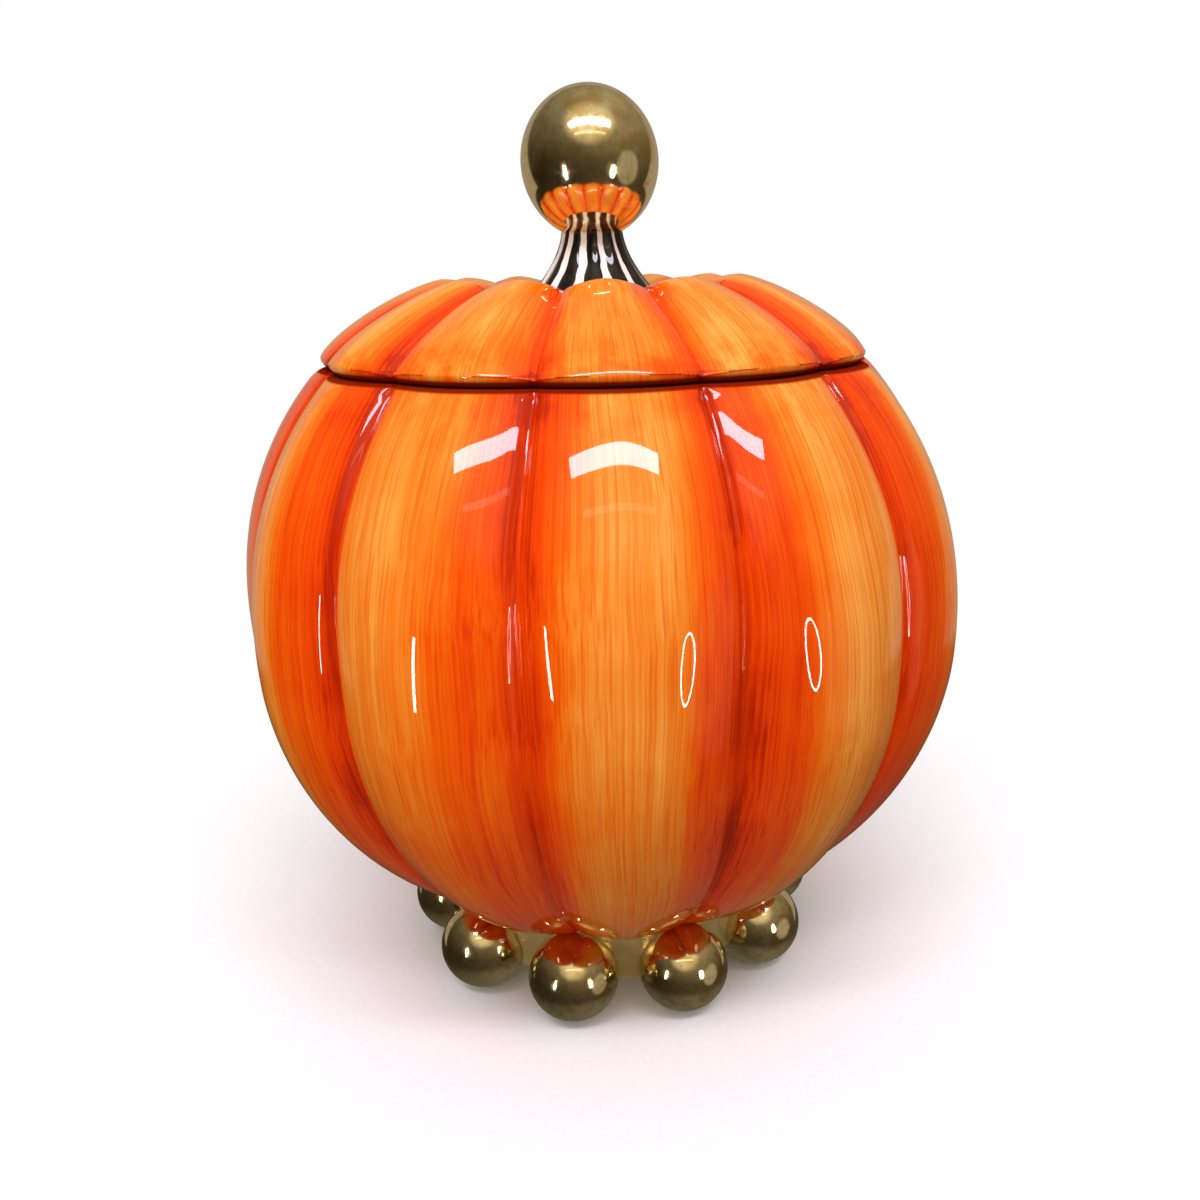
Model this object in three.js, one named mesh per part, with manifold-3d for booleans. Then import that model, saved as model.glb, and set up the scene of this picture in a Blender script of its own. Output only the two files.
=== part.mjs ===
// Glazed ceramic pumpkin jar. A lobed bowl stands on a gold ring of ball feet, and
// a lobed lid with a flared stem and a ball finial lifts straight off it.
// Millimetres, +Z up. The origin is on the surface that it stands on, at the centre.
// One lobe's crest faces -Y. Angles are counted from -Y towards +X.
import * as THREE from "three";
import { mergeVertices } from "three/addons/utils/BufferGeometryUtils.js";
import Module from "manifold-3d";

const wasm = await Module();
wasm.setup();

// Driving dimensions
const LOBES = 12;
const STEPS_PER_LOBE = 4;
const GAP = 0.3; // between pieces that are joined or rest on each other
const WALL = 5.5;

const BELLY_RADIUS = 106; // at a lobe's crest
const BELLY_HEIGHT = 111.5;
const RISE_ABOVE_BELLY = 105; // semi-axis of the oval above the belly
const DROP_BELOW_BELLY = 99.5; // semi-axis of the oval below it
const FULLNESS_ABOVE = 2.17; // 2 is a true ellipse, and more gives fuller shoulders
const FULLNESS_BELOW = 1.88;
const BELLY_GROOVE = 8.5; // depth of the groove between two lobes, at the belly
const GROOVE_FADE = 1.7; // how fast the grooves run out towards the underside
const SHOULDER_GROOVE = 6; // depth of the groove on the bowl's shoulder
const SHOULDER_RISE = 45; // height above the belly where the shoulder's depth is reached
const RIM_GROOVE = 3.3; // what is left of the groove in the rim's upper face

const BASE_RADIUS = 42.5; // of the flat underside
const RIM_HEIGHT = 186.2;
const RIM_EDGE_DROP = 2.5; // the shoulder rounds over into the rim from this far below it
const RIM_EDGE_IN = 4.5; // and ends this much further in
const RIM_EDGE_BEND = 2.75; // where the shoulder's own slope would meet the rim
const MOUTH_RADIUS = 66;
const MOUTH_DEPTH = 5; // of the straight mouth, before the wall opens out

const LID_RADIUS = 75.4;
const LID_NOSE = 2.6; // rounding of the lid's lower edge
const LID_GROOVE = 3.3;
const LID_TOP = 207.8;
const LID_TOP_RADIUS = 41; // where the dome is highest
const LID_FULLNESS = 1.3; // 2 would be a true ellipse, and less gives straighter flanks
const LID_SHOULDER_DROP = 0.8; // half-way between the dome's top and the dimple
const DIMPLE_RADIUS = 19; // the sunken seat round the stem
const DIMPLE_HEIGHT = 203.6;
const FLANGE_CLEARANCE = 1.5; // all round the locating flange in the mouth
const FLANGE_DEPTH = 12;
const FLANGE_WALL = 5;
const FLANGE_ROOT = 2; // how far its inside runs up into the dome
const VENT_RADIUS = 8; // of the hole in the lid under the stem

const BALL_RADIUS = 18.15;
const BALL_HEIGHT = 235.1;
const BALL_WALL = 3.5;
const STEM_TOP_RADIUS = 7.9;
const STEM_BORE = 5.5;
const STEM_FOOT_RADIUS = 16.7;
const STEM_WAIST = 8; // height above its foot where the flare has closed in
const STEM_FLARE = 1; // how much wider than its top the stem is there

const FEET = 10;
const FOOT_RADIUS = 13.7;
const FOOT_HEIGHT = 13.3; // of a foot ball's centre, so that the ball has a small flat
const FEET_CIRCLE = 54.6; // radius of the circle through the balls' centres
const RING_INNER = 38;
const RING_OUTER = 51;
const RING_BOTTOM = 7.5;
const RING_ROUNDING = 3;

const AROUND = LOBES * STEPS_PER_LOBE;
const FLANGE_RADIUS = MOUTH_RADIUS - FLANGE_CLEARANCE;
const SEAT_HEIGHT = RIM_HEIGHT + GAP;

// Colours and finishes
const glaze = { color: 0xe8661a, roughness: 0.12, metalness: 0 };
const gold = { color: 0xb79a5c, roughness: 0.12, metalness: 1 };
const striped = { color: 0x2b2926, roughness: 0.15, metalness: 0 };

// 0 at a lobe's crest, 1 or -1 at the grooves beside it
function acrossLobe(angle) {
  const turn = (angle * LOBES) / (2 * Math.PI);
  return 2 * (turn - Math.round(turn));
}

// A profile point is [radius, height, radial dip, axial dip]. The dips say how far
// the point is moved in and down at a groove.
function lobedLathe(profile) {
  const points = profile.map(([r, z]) => new THREE.Vector2(r, z));
  const geometry = new THREE.LatheGeometry(points, AROUND);
  const place = geometry.attributes.position;
  for (let k = 0; k < place.count; k++) {
    const [r, z, dipIn = 0, dipDown = 0] = profile[k % profile.length];
    const angle = (Math.floor(k / profile.length) * 2 * Math.PI) / AROUND;
    const share = acrossLobe(angle) ** 2;
    const radius = r - dipIn * share;
    place.setXYZ(k, radius * Math.sin(angle), z - dipDown * share, radius * Math.cos(angle));
  }
  return geometry.rotateX(Math.PI / 2);
}

function roundLathe(profile, segments) {
  const points = profile.map(([r, z]) => new THREE.Vector2(r, z));
  return new THREE.LatheGeometry(points, segments).rotateX(Math.PI / 2);
}

const signedPower = (value, power) => Math.sign(value) * Math.abs(value) ** power;

// An ellipse's arc. Powers other than 1 make it fuller (below 1) or straighter (above 1).
function arc(centreR, centreZ, radiusR, radiusZ, from, to, steps, powerR = 1, powerZ = 1) {
  const points = [];
  for (let i = 0; i <= steps; i++) {
    const a = from + ((to - from) * i) / steps;
    const r = centreR + radiusR * signedPower(Math.cos(a), powerR);
    points.push([r, centreZ + radiusZ * signedPower(Math.sin(a), powerZ)]);
  }
  return points;
}

// Offsets an outward-going profile along its normal. A positive distance is outward.
function offset(points, distance) {
  return points.map(([r, z, ...dips], i) => {
    const [r0, z0] = points[Math.max(i - 1, 0)];
    const [r1, z1] = points[Math.min(i + 1, points.length - 1)];
    const length = Math.hypot(r1 - r0, z1 - z0);
    return [r + (distance * (z1 - z0)) / length, z - (distance * (r1 - r0)) / length, ...dips];
  });
}

// Gives each point its dips, along the profile's normal
function grooved(points, depthAt) {
  return offset(points, 1).map(([r1, z1], i) => {
    const [r, z] = points[i];
    const depth = depthAt(r);
    return [r, z, (r1 - r) * depth, (z1 - z) * depth];
  });
}

function toSolid(geometry) {
  const bare = geometry.clone();
  bare.deleteAttribute("normal");
  bare.deleteAttribute("uv");
  const merged = mergeVertices(bare, 1e-3);
  const corners = merged.index.array;
  const kept = [];
  for (let i = 0; i < corners.length; i += 3) {
    const [a, b, c] = corners.slice(i, i + 3);
    if (a !== b && b !== c && c !== a) kept.push(a, b, c);
  }
  const vertProperties = merged.attributes.position.array;
  const mesh = new wasm.Mesh({ numProp: 3, vertProperties, triVerts: new Uint32Array(kept) });
  return new wasm.Manifold(mesh);
}

function toGeometry(solid) {
  const { vertProperties, triVerts } = solid.getMesh();
  const geometry = new THREE.BufferGeometry();
  geometry.setAttribute("position", new THREE.BufferAttribute(vertProperties, 3));
  geometry.setIndex(new THREE.BufferAttribute(triVerts, 1));
  geometry.computeVertexNormals();
  return geometry;
}

const bellyGroove = (r) => BELLY_GROOVE * (r / BELLY_RADIUS) ** GROOVE_FADE;

function shoulderGroove(z) {
  const share = THREE.MathUtils.smoothstep(z, BELLY_HEIGHT, BELLY_HEIGHT + SHOULDER_RISE);
  return THREE.MathUtils.lerp(BELLY_GROOVE, SHOULDER_GROOVE, share);
}

// The bowl's outside, from the edge of its flat underside up to its rim. Below the belly the
// grooves cut in along the surface's normal, and above it they cut in level.
function bowlOutside() {
  const start = -Math.acos(BASE_RADIUS / BELLY_RADIUS);
  const edgeShare = (RIM_HEIGHT - RIM_EDGE_DROP - BELLY_HEIGHT) / RISE_ABOVE_BELLY;
  const end = Math.asin(edgeShare ** (FULLNESS_ABOVE / 2));
  const oval = (height, from, to, steps, fullness) =>
    arc(0, BELLY_HEIGHT, BELLY_RADIUS, height, from, to, steps, 1, 2 / fullness);
  const below = oval(DROP_BELOW_BELLY, start, 0, 8, FULLNESS_BELOW);
  const above = oval(RISE_ABOVE_BELLY, 0, end, 5, FULLNESS_ABOVE);
  const lower = grooved([...below, above[1]], bellyGroove).slice(0, -1);
  const upper = above.slice(1).map(([r, z]) => [r, z, shoulderGroove(z), 0]);
  return [...lower, ...upper];
}

// The rim is level, and the grooves nearly run out in its rounded edge.
function bowl() {
  const outside = bowlOutside();
  const edgeR = outside.at(-1)[0];
  const bendR = edgeR - RIM_EDGE_BEND / 2 - RIM_EDGE_IN / 4;
  const bend = [bendR, RIM_HEIGHT - RIM_EDGE_DROP / 4, (SHOULDER_GROOVE + RIM_GROOVE) / 2, 0];
  const rim = [edgeR - RIM_EDGE_IN, RIM_HEIGHT, RIM_GROOVE, 0];
  const inside = offset(outside, -WALL).reverse().slice(2);
  const mouth = [[MOUTH_RADIUS, RIM_HEIGHT], [MOUTH_RADIUS, RIM_HEIGHT - MOUTH_DEPTH]];
  const floor = inside.at(-1)[1];
  const top = [bend, rim, ...mouth];
  return lobedLathe([[0, outside[0][1]], ...outside, ...top, ...inside, [0, floor]]);
}

// The bowl's outside filled in and swollen by the gap, which its neighbours are cut by
function bowlCutter() {
  const outside = offset(bowlOutside(), GAP);
  const bottom = outside[0][1] - GAP;
  outside.unshift([outside[0][0] - GAP, bottom]);
  const top = outside.at(-1)[1];
  return toSolid(lobedLathe([[0, bottom], ...outside, [0, top]]));
}

function lid() {
  const depthAt = (r) => LID_GROOVE * THREE.MathUtils.smoothstep(r, DIMPLE_RADIUS, LID_TOP_RADIUS);
  const noseR = LID_RADIUS - LID_NOSE;
  const noseZ = SEAT_HEIGHT + LID_NOSE;
  const nose = arc(noseR, noseZ, LID_NOSE, LID_NOSE, -Math.PI / 2, 0, 3);
  const rise = LID_TOP - noseZ;
  const reach = LID_RADIUS - LID_TOP_RADIUS;
  const power = 2 / LID_FULLNESS;
  const dome = arc(LID_TOP_RADIUS, noseZ, reach, rise, 0, Math.PI / 2, 8, power, power).slice(1);
  const shoulder = [(LID_TOP_RADIUS + DIMPLE_RADIUS) / 2, LID_TOP - LID_SHOULDER_DROP];
  const top = grooved([...nose, ...dome, shoulder, [DIMPLE_RADIUS, DIMPLE_HEIGHT]], depthAt);
  for (const point of top.slice(0, nose.length)) {
    point.splice(2, 2, LID_GROOVE, 0); // the nose is only set in, so the seat stays flat
  }
  const underside = offset(top.slice(nose.length + 2), -WALL).reverse();
  const vent = [[VENT_RADIUS, DIMPLE_HEIGHT], [VENT_RADIUS, DIMPLE_HEIGHT - WALL]];
  const flangeInner = FLANGE_RADIUS - FLANGE_WALL;
  const flangeFoot = SEAT_HEIGHT - FLANGE_DEPTH;
  const flangeOut = [[FLANGE_RADIUS, flangeFoot], [FLANGE_RADIUS, SEAT_HEIGHT]];
  const flangeIn = [[flangeInner, SEAT_HEIGHT + FLANGE_ROOT], [flangeInner, flangeFoot]];
  const hollow = underside.filter(([r]) => r > DIMPLE_RADIUS && r < flangeInner);
  const profile = [...flangeOut, ...top, ...vent, ...hollow, ...flangeIn, flangeOut[0]];
  return lobedLathe(profile);
}

// A bell-shaped tube. Its bore joins the lid's vent to the hollow ball.
function stem() {
  const foot = DIMPLE_HEIGHT + GAP;
  const waist = foot + STEM_WAIST;
  const onBall = (r) => BALL_HEIGHT - Math.sqrt((BALL_RADIUS + GAP) ** 2 - r ** 2);
  const outside = new THREE.QuadraticBezierCurve(
    new THREE.Vector2(STEM_FOOT_RADIUS, foot),
    new THREE.Vector2(STEM_TOP_RADIUS + STEM_FLARE, waist),
    new THREE.Vector2(STEM_TOP_RADIUS, onBall(STEM_TOP_RADIUS)),
  );
  const wall = outside.getPoints(6).map(({ x, y }) => [x, y]);
  const bore = [[STEM_BORE, onBall(STEM_BORE)], [STEM_BORE, waist], [VENT_RADIUS, foot]];
  return roundLathe([...wall, ...bore, wall[0]], 24);
}

// A hollow ball, open at the bottom into the stem's bore
function finialBall() {
  const inner = BALL_RADIUS - BALL_WALL;
  const innerEdge = -Math.acos(STEM_BORE / inner);
  const outerEdge = -Math.acos(STEM_BORE / BALL_RADIUS);
  const hollow = arc(0, BALL_HEIGHT, inner, inner, Math.PI / 2, innerEdge, 8);
  const skin = arc(0, BALL_HEIGHT, BALL_RADIUS, BALL_RADIUS, outerEdge, Math.PI / 2, 11);
  hollow[0][0] = 0;
  skin.at(-1)[0] = 0;
  return roundLathe([...hollow, ...skin], 24);
}

const footAngle = (i) => ((i + 0.5) * 2 * Math.PI) / FEET;

function footSphere(i, extra) {
  const angle = footAngle(i);
  const sphere = new THREE.SphereGeometry(FOOT_RADIUS + extra, 16, 11).rotateX(Math.PI / 2);
  sphere.rotateZ(angle);
  const x = FEET_CIRCLE * Math.sin(angle);
  return sphere.translate(x, -FEET_CIRCLE * Math.cos(angle), FOOT_HEIGHT);
}

function footBall(i, bowlSolid) {
  const depth = 2 * FOOT_RADIUS;
  const span = 4 * FEET_CIRCLE;
  const ground = new THREE.BoxGeometry(span, span, depth).translate(0, 0, -depth / 2);
  return toGeometry(toSolid(footSphere(i, 0)).subtract(bowlSolid).subtract(toSolid(ground)));
}

function footRing(bowlSolid) {
  const top = BELLY_HEIGHT - DROP_BELOW_BELLY / 2;
  const low = RING_BOTTOM + RING_ROUNDING;
  const round = RING_ROUNDING;
  const outerEdge = arc(RING_OUTER - round, low, round, round, -Math.PI / 2, 0, 3);
  const innerEdge = arc(RING_INNER + round, low, round, round, -Math.PI, -Math.PI / 2, 3);
  const profile = [...outerEdge, [RING_OUTER, top], [RING_INNER, top], ...innerEdge];
  let ring = toSolid(roundLathe([...profile, outerEdge[0]], AROUND)).subtract(bowlSolid);
  for (let i = 0; i < FEET; i++) {
    ring = ring.subtract(toSolid(footSphere(i, GAP)));
  }
  return toGeometry(ring);
}

function named(name, geometry, finish) {
  const mesh = new THREE.Mesh(geometry, new THREE.MeshStandardMaterial(finish));
  mesh.name = name;
  return mesh;
}

const bowlSolid = bowlCutter();
const jar = new THREE.Group();
jar.add(named("bowl", bowl(), glaze));
jar.add(named("foot_ring", footRing(bowlSolid), gold));
for (let i = 0; i < FEET; i++) {
  jar.add(named(`foot_ball_${i + 1}`, footBall(i, bowlSolid), gold));
}
const lidGroup = new THREE.Group();
lidGroup.add(named("lid", lid(), glaze));
lidGroup.add(named("stem", stem(), striped));
lidGroup.add(named("finial_ball", finialBall(), gold));
jar.add(lidGroup);

export default jar;
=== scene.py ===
"""The looks of the ceramic pumpkin jar: a painted lobed bowl and lid, a striped stem and gold balls.

Metres, +Z up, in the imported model's frame. A lobe's crest faces -Y. Angles are counted from -Y
towards +X. Every piece is a fine surface built over its CAD node, and rides on that node's body.
"""

import math

import bmesh
import bpy
import numpy as np
from mathutils import Matrix, Vector

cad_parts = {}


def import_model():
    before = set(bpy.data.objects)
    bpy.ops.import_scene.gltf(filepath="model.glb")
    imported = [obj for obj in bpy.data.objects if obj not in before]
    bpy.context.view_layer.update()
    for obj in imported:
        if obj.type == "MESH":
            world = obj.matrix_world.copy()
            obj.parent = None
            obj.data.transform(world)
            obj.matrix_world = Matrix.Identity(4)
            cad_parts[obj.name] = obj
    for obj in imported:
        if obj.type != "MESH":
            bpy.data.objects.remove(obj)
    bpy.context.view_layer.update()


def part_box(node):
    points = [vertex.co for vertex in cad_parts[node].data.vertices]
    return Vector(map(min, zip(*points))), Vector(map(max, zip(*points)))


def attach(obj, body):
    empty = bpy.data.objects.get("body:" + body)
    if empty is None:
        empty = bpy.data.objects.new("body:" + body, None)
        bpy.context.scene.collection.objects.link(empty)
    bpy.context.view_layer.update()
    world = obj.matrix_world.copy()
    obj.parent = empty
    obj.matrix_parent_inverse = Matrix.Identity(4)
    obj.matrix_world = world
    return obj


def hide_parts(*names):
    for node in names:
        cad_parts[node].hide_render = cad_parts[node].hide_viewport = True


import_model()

MM = 0.001
TURN = 2 * math.pi

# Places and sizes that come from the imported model
bowl_low, bowl_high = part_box("bowl")
lid_low, lid_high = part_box("lid")
stem_low, stem_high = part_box("stem")
finial_low, finial_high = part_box("finial_ball")
ring_low, ring_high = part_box("foot_ring")

BELLY_RADIUS = (bowl_high.x - bowl_low.x) / 2
RIM_HEIGHT = bowl_high.z
LID_RADIUS = (lid_high.x - lid_low.x) / 2
LID_TOP = lid_high.z
LID_FOOT = lid_low.z
BALL_RADIUS = (finial_high.x - finial_low.x) / 2
BALL_HEIGHT = finial_high.z - BALL_RADIUS
RING_OUTER = (ring_high.y - ring_low.y) / 2
RING_BOTTOM = ring_low.z

# Shape of the pieces, as in the CAD model
LOBES = 12
WALL = 5.5 * MM
BELLY_HEIGHT = 111.5 * MM
RISE_ABOVE_BELLY = 105 * MM
DROP_BELOW_BELLY = 99.5 * MM
FULLNESS_ABOVE = 2.17  # 2 is a true ellipse, and more gives fuller shoulders
FULLNESS_BELOW = 1.88
BELLY_GROOVE = 8.5 * MM
GROOVE_FADE = 1.7  # how fast the grooves run out towards the underside
SHOULDER_GROOVE = 6 * MM
SHOULDER_RISE = 45 * MM  # height above the belly where the shoulder's depth is reached
RIM_GROOVE = 3.3 * MM
BASE_RADIUS = 42.5 * MM
RIM_EDGE_DROP = 2.5 * MM
RIM_EDGE_IN = 4.5 * MM
RIM_EDGE_BEND = 2.75 * MM
RIM_LIP = 1.2 * MM
MOUTH_RADIUS = 66 * MM
MOUTH_DEPTH = 5 * MM
SEAT_GAP = 0.3 * MM
LID_SEAT = RIM_HEIGHT + SEAT_GAP
LID_NOSE = 2.6 * MM
LID_GROOVE = 3.3 * MM
LID_TOP_RADIUS = 41 * MM
LID_FULLNESS = 1.3
DIMPLE_RADIUS = 19 * MM
DIMPLE_HEIGHT = stem_low.z - SEAT_GAP
FLANGE_RADIUS = 64.5 * MM
FLANGE_WALL = 5 * MM
FLANGE_ROOT = 2 * MM
FLANGE_TOE = 1.5 * MM
VENT_RADIUS = 8 * MM
STEM_FOOT_RADIUS = (stem_high.x - stem_low.x) / 2
STEM_TOP_RADIUS = 7.9 * MM
STEM_BORE = 5.5 * MM
STEM_WAIST = 8 * MM
STEM_FLARE = 1 * MM
STEM_FLUTES = 0.35 * MM
STRIPES = 12
STRIPE_TURN = math.radians(4)  # how far round the first black stripe's middle is
BALL_WALL = 3.5 * MM
FEET = 10
FOOT_RADIUS = 13.7 * MM
FOOT_HEIGHT = 13.3 * MM
FEET_CIRCLE = 54.6 * MM
RING_INNER = 38 * MM
RING_ROUNDING = 3 * MM
RING_SUNK = 2.6 * MM  # into the bowl's wall, so that no groove shows a gap

# How finely the surfaces are divided
STEPS_PER_LOBE = 44
COLUMN_CROWDING = 0.65  # how much closer the columns of points lie at a groove than at a crest
LOBE_FLANK = 0.62  # share of a groove's depth that the lobe's nearly straight flanks take
LOBE_ROUNDING = 0.4  # of the crest between the flanks
LOBE_CREASE = 12  # how late the rest of the depth falls away beside the groove
VALLEY_SOFTNESS = 0.12  # rounds the bottom of the groove between two lobes
HAND_SWAY = math.radians(0.5)  # scale of how far hand modelling moves a groove sideways
RING_STEPS = 240  # round the foot ring
BALL_STEPS = 96  # round the finial ball
FOOT_STEPS = 64  # round each foot ball
STEPS_PER_STRIPE = 12
BOWL_STEPS_BELOW = 60  # along the bowl, from its underside up to the belly
BOWL_STEPS_ABOVE = 44
NOSE_STEPS = 10  # round the lid's lower edge
INSIDE_STARTS = 8  # rows below the rim's edge where the inside leaves the throat

# The materials of the bowl and of the lid, in the order of their slots
PAINT_SLOT, INSIDE_SLOT, CLAY_SLOT = range(3)

# How the paint lies, where 0 is the lightest
BRUSHED_PAINT = 0.76  # outside the light bands
POOLED_PAINT = 0.34  # how much darker it is where it pooled in the grooves
POOL_EDGE = 0.64  # where the pool starts, from 0 at the crest to 1 at the groove

# Where the brush left each lobe light, first the lobe that faces -Y and then on towards +X: the
# light band's middle and half width (-1 and 1 are the lobe's grooves), how far the band leans
# from the bottom to the top, how dark it is itself, and how much darker it gets to the bottom,
# which is painted shade of the lower half.
BOWL_BANDS = [
    (-0.09, 0.56, 0.16, 0.12, 0.08), (0.30, 0.60, -0.10, 0.00, 0.16), (0.32, 0.54, 0.05, 0.10, 0.2),
    (0.10, 0.60, 0.10, 0.16, 0.12), (-0.15, 0.50, 0.10, 0.05, 0.2), (0.20, 0.62, -0.10, 0.12, 0.06),
    (-0.05, 0.50, 0.12, 0.02, 0.24), (0.25, 0.45, 0.05, 0.12, 0.1), (-0.20, 0.60, 0.10, 0.06, 0.2),
    (-0.30, 0.50, 0.12, 0.12, 0.14), (-0.35, 0.55, 0.10, 0.06, 0.24), (-0.42, 0.72, 0.30, 0.16, 0.4),
]
LID_BANDS = [
    (-0.08, 0.76, 0.00, 0.16, 0.06), (-0.15, 0.74, 0.10, 0.04, 0.1), (0.12, 0.74, -0.10, 0.08, 0.0),
    (0.05, 0.76, 0.10, 0.12, 0.1), (-0.10, 0.70, 0.10, 0.04, 0.05), (0.15, 0.76, -0.10, 0.10, 0.1),
    (-0.05, 0.70, 0.12, 0.02, 0.0), (0.15, 0.70, 0.05, 0.12, 0.1), (-0.15, 0.76, 0.10, 0.06, 0.05),
    (-0.10, 0.68, 0.12, 0.10, 0.0), (-0.10, 0.70, 0.10, 0.06, 0.0), (-0.15, 0.78, 0.10, 0.06, 0.1),
]


# ---------------------------------------------------------------- shape helpers


def arc(centre_r, centre_z, radius_r, radius_z, start, end, steps, power_r=1.0, power_z=1.0):
    """Points (r, z) on an ellipse's arc. Powers below 1 make it fuller, and above 1 straighter."""
    a = np.linspace(start, end, steps + 1)
    across, up = np.cos(a), np.sin(a)
    r = centre_r + radius_r * np.sign(across) * np.abs(across) ** power_r
    return np.stack([r, centre_z + radius_z * np.sign(up) * np.abs(up) ** power_z], 1)


def line(start, end, steps):
    """Points (r, z) on a straight line."""
    share = np.linspace(0, 1, steps + 1)[:, None]
    return np.array(start) * (1 - share) + np.array(end) * share


def bend(start, corner, end, steps):
    """Points (r, z) on a curve that leaves start towards corner and reaches end from it."""
    share = np.linspace(0, 1, steps + 1)[:, None]
    weights = (1 - share) ** 2, 2 * share * (1 - share), share**2
    return sum(weight * np.array(point) for weight, point in zip(weights, (start, corner, end)))


def joined(*stretches):
    """One path of several stretches, without the points where they meet twice."""
    path = [np.array(stretches[0])]
    for stretch in stretches[1:]:
        stretch = np.array(stretch)
        same = np.hypot(*(stretch[0] - path[-1][-1])) < 1e-7
        path.append(stretch[1:] if same else stretch)
    return np.concatenate(path)


def normals(path):
    """The unit normal on the right-hand side of a path (r, z)."""
    ahead = np.gradient(path, axis=0)
    ahead /= np.hypot(ahead[:, 0], ahead[:, 1])[:, None]
    return np.stack([ahead[:, 1], -ahead[:, 0]], 1)


def smooth(low, high, value):
    """0 up to low, 1 from high, and an S-curve between."""
    share = np.clip((value - low) / (high - low), 0, 1)
    return share * share * (3 - 2 * share)


def across_lobe(angle):
    """0 at a lobe's crest, and -1 or 1 at the grooves beside it."""
    turn = angle * LOBES / TURN
    return 2 * (turn - np.round(turn))


def pillow(across):
    """How deep a lobe's own surface lies: nearly straight flanks, and a crease at the groove."""
    k = LOBE_ROUNDING
    flank = (np.sqrt(across**2 + k**2) - k) / (math.sqrt(1 + k**2) - k)
    return LOBE_FLANK * flank + (1 - LOBE_FLANK) * across**LOBE_CREASE


def lobe_section(angle):
    """How deep into the groove a point is: 0 at the crest, and 1 in the rounded valley."""
    across = np.abs(across_lobe(angle))
    k = VALLEY_SOFTNESS
    both = np.exp(-pillow(across) / k) + np.exp(-pillow(2 - across) / k)
    return -k * np.log(both) / (1 - k * math.log(2))


def lobe_angles():
    """The angles of the columns of points, crowded at the grooves."""
    share = np.linspace(-1, 1, STEPS_PER_LOBE, endpoint=False)
    across = share + COLUMN_CROWDING / math.pi * np.sin(math.pi * share)
    lobes = np.arange(LOBES)[:, None]
    return ((lobes + across / 2) * TURN / LOBES).reshape(1, -1)


def sway(angle, along):
    """A hand-made groove isn't quite a plane: its angle drifts along its length."""
    drift = np.sin(3 * angle + 2.2 * along) + 0.6 * np.sin(7 * angle - 3.1 * along + 1.3)
    return HAND_SWAY * drift * np.sin(math.pi * np.clip(along, 0, 1))


def grid_piece(name, rows, materials, row_material, closed=False, values=None):
    """A surface of rows of points round the axis. closed joins the last row to the first."""
    count, around = rows.shape[:2]
    index = np.arange(count * around).reshape(count, around)
    above = np.roll(index, -1, 0) if closed else index[1:]
    here = index if closed else index[:-1]
    quads = np.stack([here, np.roll(here, -1, 1), np.roll(above, -1, 1), above], -1)
    mesh = bpy.data.meshes.new(name)
    mesh.from_pydata(rows.reshape(-1, 3).tolist(), [], quads.reshape(-1, 4).tolist())
    for material in materials:
        mesh.materials.append(material)
    slots = np.repeat(np.asarray(row_material)[: len(here)], around)
    mesh.polygons.foreach_set("material_index", slots.astype(np.int32))
    for key, value in (values or {}).items():
        kind = "FLOAT_VECTOR" if value.ndim == 3 else "FLOAT"
        field = "vector" if value.ndim == 3 else "value"
        attribute = mesh.attributes.new(key, kind, "POINT")
        attribute.data.foreach_set(field, value.astype(np.float32).ravel())
    tidy = bmesh.new()
    tidy.from_mesh(mesh)
    bmesh.ops.remove_doubles(tidy, verts=tidy.verts, dist=1e-6)
    tidy.to_mesh(mesh)
    tidy.free()
    mesh.shade_smooth()
    piece = bpy.data.objects.new(name, mesh)
    bpy.context.scene.collection.objects.link(piece)
    return piece


def stands_for(piece, node, body):
    """Puts a piece in place of its CAD node."""
    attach(piece, body)
    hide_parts(node)
    return piece


def even_angles(count):
    """The angles of evenly spaced columns of points."""
    return np.linspace(0, TURN, count, endpoint=False)[None, :]


def flat(path):
    """No groove along a path."""
    return np.zeros((len(path), 2))


def fading(path, start, end):
    """A groove that cuts level into a path, and changes evenly in depth along it."""
    return np.linspace((start, 0), (end, 0), len(path) + 1)[1:]


def lengthwise(path):
    """How far along a path each of its points is, from 0 to 1."""
    steps = np.hypot(*np.diff(path, axis=0).T)
    return np.concatenate([[0], np.cumsum(steps)]) / steps.sum()


def turned(path, angle, dips=None, drift=None):
    """A path (r, z) turned round the axis. dips (r, z) are how far a groove cuts into it."""
    path = path[:, None, :]
    radius, height = path[..., 0] + 0 * angle, path[..., 1] + 0 * angle
    if dips is not None:
        share = lobe_section(angle + drift)
        radius = radius - dips[:, None, 0] * share
        height = height - dips[:, None, 1] * share
    return np.stack([radius * np.sin(angle), -radius * np.cos(angle), height], -1)


def pigment_and_shade(angle, along, bands):
    """How much dark orange the brush left, from 0 in the lightest band to about 1 in a groove, with
    painted shade that darkens each band towards the bottom.
    """
    lobe = np.round(angle * LOBES / TURN).astype(int)
    across = across_lobe(angle)
    middle, half, lean, depth, bottom_shade = (np.array(values)[lobe % LOBES] for values in zip(*bands))
    waver = 0.06 * np.sin(8.0 * along + 2.3 * lobe) + 0.03 * np.sin(21.0 * along + 1.1 * lobe)
    off = np.abs(across - middle - lean * (along - 0.5) - waver) / half
    outside_band = smooth(0.5, 1.5, off)
    # Painted shade: each band gets darker towards the bottom, where the light is weaker.
    depth = depth + bottom_shade * smooth(0.8, 0.2, along)
    pooled = POOLED_PAINT * smooth(POOL_EDGE, 1.0, np.abs(across))
    return depth + (BRUSHED_PAINT - depth) * outside_band + pooled


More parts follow.
